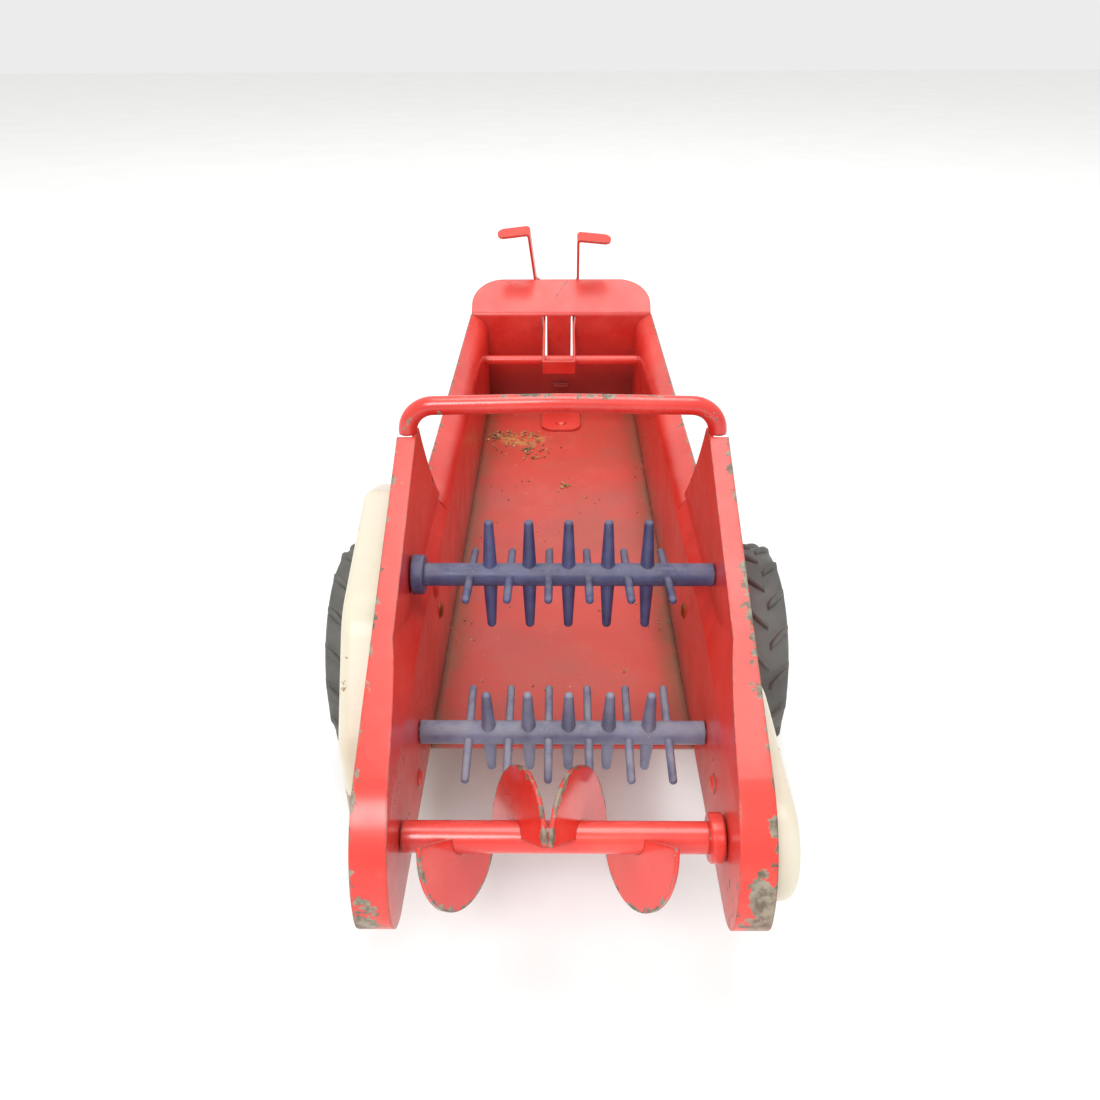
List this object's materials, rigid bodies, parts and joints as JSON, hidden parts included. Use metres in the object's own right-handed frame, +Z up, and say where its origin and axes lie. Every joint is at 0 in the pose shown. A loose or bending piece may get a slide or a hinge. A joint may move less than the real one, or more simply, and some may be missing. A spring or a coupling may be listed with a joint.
{
  "type": "toy manure spreader",
  "caption": "Pressed-steel toy manure spreader: open box on rubber-tyred wheels, toothed beaters and a widespread auger at the rear, side drive shields, hand levers and a drawbar.",
  "frame": {"origin": "on the ground, under the middle of the overall length and width", "axes": "+Y forward towards the hitch, +X to the right as seen from behind, +Z up"},
  "size_m": [0.1219, 0.3492, 0.1112],
  "materials": {
    "red_enamel": "satin, chipped and worn",
    "cream_enamel": "satin, aged, with small chips",
    "blue_plastic": "moulded, slightly cloudy, dusty",
    "dark_plastic": "moulded",
    "shaft_steel": "plain drawn rod, dull",
    "cap_steel": "plated, worn",
    "brass_rivet": "dull",
    "belt_rubber": "dull",
    "tyre_rubber": "dusty, lightly worn"
  },
  "bodies": {
    "chassis": {"floor_pan": "red_enamel", "left_side_panel": "red_enamel", "right_side_panel": "red_enamel", "front_panel": "red_enamel", "arch_rod": "red_enamel", "cross_bar": "red_enamel", "drawbar": "red_enamel", "drawbar_stand": "red_enamel", "drawbar_rivets": "red_enamel", "left_axle_plate": "red_enamel", "right_axle_plate": "red_enamel", "axle_plate_rivets": "brass_rivet", "left_shield": "cream_enamel", "right_shield": "cream_enamel", "left_shield_rivets": "red_enamel", "right_shield_rivet": "red_enamel", "wheel_belt": "belt_rubber", "beater_belt": "belt_rubber", "auger_belt": "belt_rubber"},
    "wheels": {"axle": "shaft_steel", "left_rim": "cream_enamel", "right_rim": "cream_enamel", "left_tyre": "tyre_rubber", "right_tyre": "tyre_rubber", "axle_caps": "cap_steel", "axle_pulley": "dark_plastic"},
    "upper_beater_body": {"upper_beater": "blue_plastic", "upper_beater_shaft": "shaft_steel", "upper_beater_pulley": "dark_plastic"},
    "lower_beater_body": {"lower_beater": "blue_plastic", "lower_beater_shaft": "shaft_steel", "lower_beater_drive_pulley": "dark_plastic", "lower_beater_auger_pulley": "dark_plastic"},
    "auger_body": {"auger_tube": "red_enamel", "auger_collar": "red_enamel", "auger_flights": "red_enamel", "auger_shaft": "shaft_steel", "auger_pulley": "dark_plastic"},
    "levers": {"control_levers": "red_enamel"}
  },
  "joints": [
    {"name": "axle_spin", "type": "hinge", "parent": "chassis", "child": "wheels", "pos_m": [0, -0.07385, 0.03], "axis": [1, 0, 0], "continuous": true},
    {"name": "lower_beater_spin", "type": "hinge", "parent": "chassis", "child": "lower_beater_body", "pos_m": [0, -0.12965, 0.048], "axis": [1, 0, 0], "continuous": true},
    {"name": "upper_beater_spin", "type": "hinge", "parent": "chassis", "child": "upper_beater_body", "pos_m": [0, -0.10865, 0.077], "axis": [1, 0, 0], "continuous": true},
    {"name": "auger_spin", "type": "hinge", "parent": "chassis", "child": "auger_body", "pos_m": [0, -0.15845, 0.0466], "axis": [1, 0, 0], "continuous": true},
    {"name": "levers_tilt", "type": "hinge", "parent": "chassis", "child": "levers", "pos_m": [0, 0.08735, 0.0593], "axis": [1, 0, 0], "range_deg": [-27, 1]}
  ],
  "couplings": [
    {"joint": "lower_beater_spin", "follows": "axle_spin", "ratio": 2},
    {"joint": "upper_beater_spin", "follows": "axle_spin", "ratio": 2},
    {"joint": "auger_spin", "follows": "axle_spin", "ratio": 2}
  ]
}
